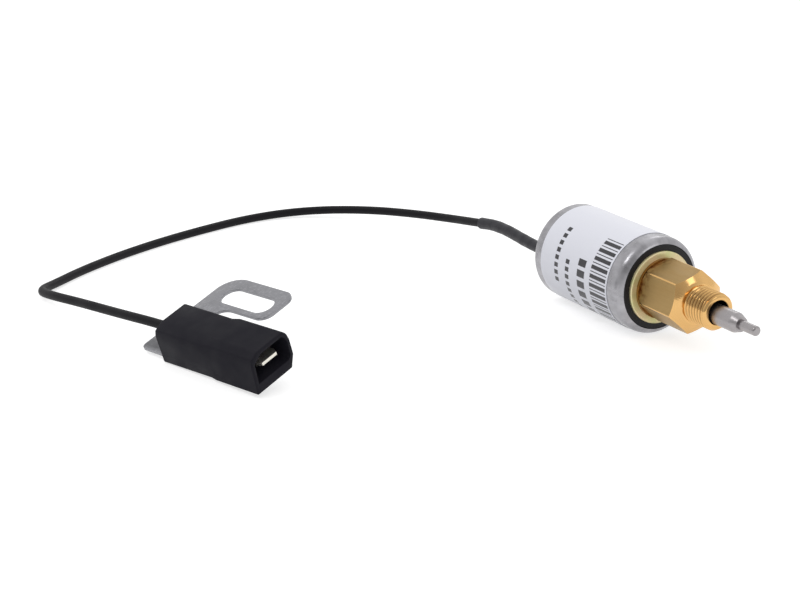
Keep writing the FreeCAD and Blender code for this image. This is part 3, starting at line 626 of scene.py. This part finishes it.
class SOLENOID_OT_inside(bpy.types.Operator):
    """Finishes the pieces inside the can"""

    bl_idname = "solenoid.inside"
    bl_label = "Dress the inner pieces"

    def execute(self, context):
        steel = drawn_finish("core_steel", paint(150, 148, 145), 0.35, 4e-6)
        board = moulded_finish("fibre_board", paint(140, 104, 76), 0.8, 2e-5)
        natural = moulded_finish("natural_nylon", paint(222, 218, 202), 0.45)
        ferrule = drawn_finish("tinned_ferrule", paint(205, 202, 196), 0.25, 3e-6)
        for node, item in (
                ("pole_stop", steel), ("rear_washer", steel), ("splice_insulator", board),
                ("bobbin", natural), ("coil_tape", natural), ("coil_winding", self.winding()),
                ("splice_crimp", ferrule)):
            dress(NODES[node], item)
        self.spring()
        return {"FINISHED"}

    def spring(self):
        """The return spring, dressed, with a mesh of its own."""
        piece = NODES["return_spring"]
        dress(piece, drawn_finish("spring_wire", paint(178, 178, 180), 0.22, 2e-6))
        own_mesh(piece)

    def winding(self):
        """Enamelled wire laid turn beside turn, with painted shade in the grooves between turns and
        slightly lighter crests.
        """
        item = Finish("enamelled_wire", paint(168, 88, 42), 0.8, 0.3)
        along, _, _ = item.polar(AXIS_HEIGHT)
        turns = item.maths("PINGPONG", item.times(along, 3200.0), 0.5)
        # Painted shade: each turn darkens into the groove beside the next and lightens a little on
        # its crest.
        item.shades(item.span(turns, 0.0, 0.5), 0.55, 1.1)
        item.bump(turns, 1e-4)
        return item


def lead_curve(name, radius):
    """The lead's line as one smooth spline with the route's points."""
    data = bpy.data.curves.new(name, "CURVE")
    data.dimensions = "3D"
    data.resolution_u = 16
    data.bevel_depth = 1.0
    data.bevel_resolution = 7
    data.use_fill_caps = True
    spline = data.splines.new("NURBS")
    spline.points.add(len(LEAD_ROUTE) - 1)
    for point, place in zip(spline.points, LEAD_ROUTE):
        point.co = (*place, 1.0)
        # The points carry the tube's radius, so the curve's own box is true
        point.radius = radius
    spline.order_u = 3
    spline.use_endpoint_u = True
    curve = bpy.data.objects.new(name, data)
    bpy.context.scene.collection.objects.link(curve)
    return curve


def line_points(curve):
    """Points along a curve's own line, read from it with no bevel."""
    bare = curve.copy()
    bare.data = curve.data.copy()
    bare.data.bevel_depth = 0.0
    bpy.context.scene.collection.objects.link(bare)
    shown = bare.evaluated_get(bpy.context.evaluated_depsgraph_get())
    points = [vert.co.copy() for vert in bpy.data.meshes.new_from_object(shown).vertices]
    bpy.data.objects.remove(bare)
    return points


def rings_along(build, points, radii):
    """Round rings square to a line, joined into one closed skin."""
    loops = []
    for index, (point, radius) in enumerate(zip(points, radii)):
        ahead = points[min(index + 1, len(points) - 1)] - points[max(index - 1, 0)]
        matrix = Matrix.Translation(point) @ ahead.to_track_quat("Z", "Y").to_matrix().to_4x4()
        ring = bmesh.ops.create_circle(build, segments=28, radius=radius, matrix=matrix)
        loops.append(ring["verts"])
    for first, second in zip(loops, loops[1:]):
        edges = {edge for vert in first + second for edge in vert.link_edges
                 if all(end in first or end in second for end in edge.verts)}
        bmesh.ops.bridge_loops(build, edges=list(edges))
    for loop in (loops[0], loops[-1]):
        bmesh.ops.contextual_create(build, geom=loop)
    bmesh.ops.recalc_face_normals(build, faces=build.faces)


class SOLENOID_OT_lead(bpy.types.Operator):
    """Lays the lead from the can to the connector, with the shrunk sleeve on its first stretch"""

    bl_idname = "solenoid.lead"
    bl_label = "Lay the lead"

    SLEEVE_INSIDE = 0.6 * MM
    SLEEVE_LIP = 0.25 * MM
    LIP_WALL = 0.12 * MM
    WAVE_HEIGHT = 0.035 * MM
    WAVE_LENGTHS = (5.3 * MM, 3.1 * MM)

    def execute(self, context):
        settings = context.scene.solenoid_lead
        lead = lead_curve("lead", settings.diameter / 2)
        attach(lead, "housing")
        dress(lead, self.insulation(settings))
        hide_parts("lead_wire")
        points = line_points(lead)
        sleeve = new_piece("shrunk_sleeve", self.sleeve(settings, points))
        dress(sleeve, self.shrink_finish(settings))
        sleeve.data.set_sharp_from_angle(angle=math.radians(40))
        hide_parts("lead_sleeve")
        return {"FINISHED"}

    def insulation(self, settings):
        """Extruded insulation with a soft sheen."""
        return moulded_finish(
            "lead_insulation", settings.lead, 0.52, 5e-6, grain=3000.0, specular=0.15)

    def sleeve(self, settings, points):
        """The sleeve's skin: tight on the lead, a little uneven, its end drawn in."""
        outer = settings.diameter / 2 + settings.sleeve_wall
        long, short = self.WAVE_LENGTHS
        kept, radii = [], []
        for point in points:
            behind = CAN_LOW.x - point.x
            if behind > settings.sleeve_length:
                break
            if behind >= -self.SLEEVE_INSIDE:
                wave = math.sin(behind / long * math.tau) * math.sin(behind / short)
                kept.append(point)
                radii.append(outer + self.WAVE_HEIGHT * wave)
        kept.append(kept[-1] + (kept[-1] - kept[-2]).normalized() * self.SLEEVE_LIP)
        radii.append(settings.diameter / 2 + self.LIP_WALL)
        build = bmesh.new()
        rings_along(build, kept, radii)
        return build

    def shrink_finish(self, settings):
        """Shrunk tubing: satin, with faint lines along it and small puckers."""
        item = Finish("shrink_tube", settings.sleeve, 0.0, 0.46)
        item.put("Specular IOR Level", 0.3)
        lines = item.noise(item.place(scale=(0.12, 1.0, 1.0)), 2600.0, detail=3.0)
        puckers = item.noise(item.place(scale=(1.0, 0.6, 0.6)), 520.0, detail=2.0)
        item.shades(item.span(lines, 0.3, 0.7), 0.82, 1.18)
        item.put("Roughness", item.span(puckers, 0.3, 0.7, 0.36, 0.56))
        item.bump(lines, 1e-5, normal=item.bump(puckers, 6e-5))
        return item


class SOLENOID_OT_connector(bpy.types.Operator):
    """Builds the connector's moulded shell, its blade and the slotted bracket"""

    bl_idname = "solenoid.connector"
    bl_label = "Make the connector"

    BLADE_EDGE = 0.08 * MM
    GRAIN_TURN = math.radians(-14.8)

    def execute(self, context):
        settings = context.scene.solenoid_connector
        shell = self.shell(settings)
        dress(shell, moulded_finish(
            "connector_plastic", settings.plastic, 0.66, 1e-5, grain=4200.0, specular=0.16))
        blade = self.rounded("blade", "blade_terminal", self.BLADE_EDGE, "tinned_metal")
        dress(blade, drawn_finish("tin_plate", settings.tin, 0.3, 4e-6, metallic=0.9))
        bracket = self.rounded(
            "slotted_bracket", "connector_bracket", settings.sheet_edge, "bracket_steel")
        dress(bracket, self.sheet_steel(settings))
        return {"FINISHED"}

    def shell(self, settings):
        """The moulded shell: soft outer edges, and a finer round about the mouth."""
        build = merged_copy("connector_housing")
        low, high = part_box("connector_housing")
        middle = (low + high) / 2

        def faces_out(face):
            """Whether a face is on the outside, and not in the mouth or the terminal's room."""
            return (face.calc_center_median() - middle).dot(face.normal) > 2.0 * MM

        outer = [edge for edge in sharp_edges(build) if all(map(faces_out, edge.link_faces))]
        round_edges(build, outer, settings.edge_round, segments=4, clamp=False)
        round_edges(build, sharp_edges(build, 50.0), settings.mouth_round, segments=2)
        return self.standing_for("connector_shell", build, "connector_housing", "connector_plastic")

    def rounded(self, name, node, radius, slot):
        """A copy of a node's shape with its edges rounded."""
        build = merged_copy(node)
        round_edges(build, sharp_edges(build), radius)
        return self.standing_for(name, build, node, slot)

    def standing_for(self, name, build, node, slot):
        """A piece that stands for a node, which it hides."""
        piece = new_piece(name, build)
        piece.data.set_sharp_from_angle(angle=math.radians(50))
        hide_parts(node)
        return piece

    def sheet_steel(self, settings):
        """Rolled sheet: grain one way, a few fine scratches another, slightly clouded."""
        item = Finish("bracket_steel", settings.steel, 1.0, 0.36)
        rolled = item.place(scale=(0.05, 1.0, 1.0), turn=(0.0, 0.0, self.GRAIN_TURN))
        grain = item.noise(rolled, 6000.0, detail=2.0)
        scratched = item.place(scale=(1.0, 0.02, 1.0), turn=(0.0, 0.0, 0.5))
        scratch = item.noise(scratched, 2600.0, detail=1.0)
        marks = item.span(scratch, 0.58, 0.7)
        cloud = item.noise(item.place(), 240.0, detail=3.0)
        streaks = item.plus(marks, grain)
        item.shades(item.span(item.plus(cloud, streaks), 0.65, 1.75), 0.8, 1.24)
        item.put("Roughness", item.span(cloud, 0.3, 0.7, 0.3, 0.48))
        item.bump(grain, 4e-6)
        return item


def looked_at(tree):
    """1 for rays from the camera and for those that gloss and glass send on, otherwise 0."""
    path = tree.nodes.new("ShaderNodeLightPath")
    seen = path.outputs["Is Camera Ray"]
    for name in ("Is Glossy Ray", "Is Transmission Ray"):
        either = tree.nodes.new("ShaderNodeMath")
        either.operation = "MAXIMUM"
        tree.links.new(seen, either.inputs[0])
        tree.links.new(path.outputs[name], either.inputs[1])
        seen = either.outputs[0]
    return seen


class SOLENOID_OT_stage(bpy.types.Operator):
    """Lays the floor, hangs the lights and sets the camera"""

    bl_idname = "solenoid.stage"
    bl_label = "Set the stage"

    CAMERA_PLACE = (0.38157, -0.29703, 0.16782)
    CAMERA_AIM = (-0.05702, -0.04233, 0.0)
    FLOOR_SIDE = 3.0
    DIM_DIRECTION = (0.72, -0.66, 0.2)
    KEY_PLACE = (-0.1, -0.55, 0.75)
    KEY_SIDE = 0.3
    FILL_PLACE = (0.7, 0.25, 0.45)
    BACK_PLACE = (-0.5, 0.5, 0.5)
    FILL_SIDE = 0.26

    def execute(self, context):
        settings = context.scene.solenoid_stage
        self.floor(settings)
        self.lamp("key_light", self.KEY_PLACE, self.KEY_SIDE, settings.key)
        self.lamp("fill_light", self.FILL_PLACE, self.FILL_SIDE, settings.fill)
        self.lamp("back_light", self.BACK_PLACE, self.FILL_SIDE, settings.fill)
        self.world(settings)
        self.camera(settings)
        return {"FINISHED"}

    def floor(self, settings):
        """A plain pale floor, whiter where it is looked at."""
        build = bmesh.new()
        bmesh.ops.create_grid(build, x_segments=1, y_segments=1, size=self.FLOOR_SIDE / 2)
        data = bpy.data.meshes.new("floor")
        build.to_mesh(data)
        build.free()
        floor = bpy.data.objects.new("floor", data)
        bpy.context.scene.collection.objects.link(floor)
        item = Finish("floor_paint", settings.floor, 0.0, 0.9)
        item.put("Specular IOR Level", 0.1)
        glow = item.node("Emission", {"Strength": item.times(looked_at(item.tree), settings.glow)})
        both = item.node("AddShader", {0: item.shader.outputs[0], 1: glow.outputs[0]})
        item.wire(item.tree.nodes["Material Output"].inputs["Surface"], both.outputs[0])
        dress(floor, item)

    def lamp(self, name, place, side, power):
        """A soft square light that points at the middle of the object."""
        data = bpy.data.lights.new(name, "AREA")
        data.size = side
        data.energy = power
        lamp = bpy.data.objects.new(name, data)
        bpy.context.scene.collection.objects.link(lamp)
        self.aim(lamp, place)

    def aim(self, thing, place):
        """Puts a light or the camera in its place, turned to the middle of the object."""
        thing.location = place
        sight = Vector(self.CAMERA_AIM) - thing.location
        thing.rotation_euler = sight.to_track_quat("-Z", "Y").to_euler()

    def world(self, settings):
        """A white tent, dimmer for gloss on the photographer's side."""
        world = bpy.data.worlds.new("studio")
        world.use_nodes = True
        bpy.context.scene.world = world
        tree = world.node_tree
        link = tree.links.new
        soft = tree.nodes["Background"]
        soft.inputs["Color"].default_value = (1.0, 1.0, 1.0, 1.0)
        soft.inputs["Strength"].default_value = settings.world
        tent = tree.nodes.new("ShaderNodeBackground")
        tent.inputs["Color"].default_value = (1.0, 1.0, 1.0, 1.0)
        toward = tree.nodes.new("ShaderNodeVectorMath")
        toward.operation = "DOT_PRODUCT"
        toward.inputs[1].default_value = self.DIM_DIRECTION
        fade = tree.nodes.new("ShaderNodeMapRange")
        ends = {"From Min": 0.0, "From Max": 0.9, "To Min": 1.0, "To Max": settings.dim_side}
        for name, value in ends.items():
            fade.inputs[name].default_value = value
        plain = tree.nodes.new("ShaderNodeMath")
        plain.operation = "MAXIMUM"
        mix = tree.nodes.new("ShaderNodeMixShader")
        link(tree.nodes.new("ShaderNodeTexCoord").outputs["Generated"], toward.inputs[0])
        link(toward.outputs["Value"], fade.inputs["Value"])
        link(fade.outputs["Result"], plain.inputs[0])
        link(tree.nodes.new("ShaderNodeLightPath").outputs["Is Camera Ray"], plain.inputs[1])
        link(plain.outputs[0], tent.inputs["Strength"])
        link(looked_at(tree), mix.inputs[0])
        link(soft.outputs[0], mix.inputs[1])
        link(tent.outputs[0], mix.inputs[2])
        link(mix.outputs[0], tree.nodes["World Output"].inputs["Surface"])

    def camera(self, settings):
        """The camera, at the angle of the product shot."""
        data = bpy.data.cameras.new("camera")
        data.lens = settings.lens
        data.sensor_width = 36.0
        data.clip_start = 0.01
        camera = bpy.data.objects.new("camera", data)
        bpy.context.scene.collection.objects.link(camera)
        self.aim(camera, self.CAMERA_PLACE)
        bpy.context.scene.camera = camera


class SOLENOID_PT_panel(bpy.types.Panel):
    """Lists the steps that dress the solenoid"""

    bl_idname = "SOLENOID_PT_panel"
    bl_label = "Solenoid"
    bl_space_type = "VIEW_3D"
    bl_region_type = "UI"
    bl_category = "Solenoid"

    def draw(self, context):
        for operator in OPERATORS:
            self.layout.operator(operator.bl_idname)
        for name, group in SETTINGS.items():
            box = self.layout.box()
            for field in group.__annotations__:
                box.prop(getattr(context.scene, name), field)


OPERATORS = (
    SOLENOID_OT_can,
    SOLENOID_OT_brass,
    SOLENOID_OT_inside,
    SOLENOID_OT_connector,
    SOLENOID_OT_lead,
    SOLENOID_OT_stage,
)


def register():
    """Adds the settings, the steps and the panel."""
    for item in (*SETTINGS.values(), *OPERATORS, SOLENOID_PT_panel):
        bpy.utils.register_class(item)
    for name, group in SETTINGS.items():
        setattr(bpy.types.Scene, name, bpy.props.PointerProperty(type=group))


def unregister():
    """Takes them away again."""
    for name in SETTINGS:
        delattr(bpy.types.Scene, name)
    for item in reversed((*SETTINGS.values(), *OPERATORS, SOLENOID_PT_panel)):
        bpy.utils.unregister_class(item)


def main():
    """Runs every step."""
    register()
    bpy.ops.solenoid.can()
    bpy.ops.solenoid.brass()
    bpy.ops.solenoid.inside()
    bpy.ops.solenoid.connector()
    bpy.ops.solenoid.lead()
    bpy.ops.solenoid.stage()
    bpy.context.scene.view_settings.view_transform = "Standard"
    bpy.context.view_layer.update()


if __name__ == "__main__":
    main()
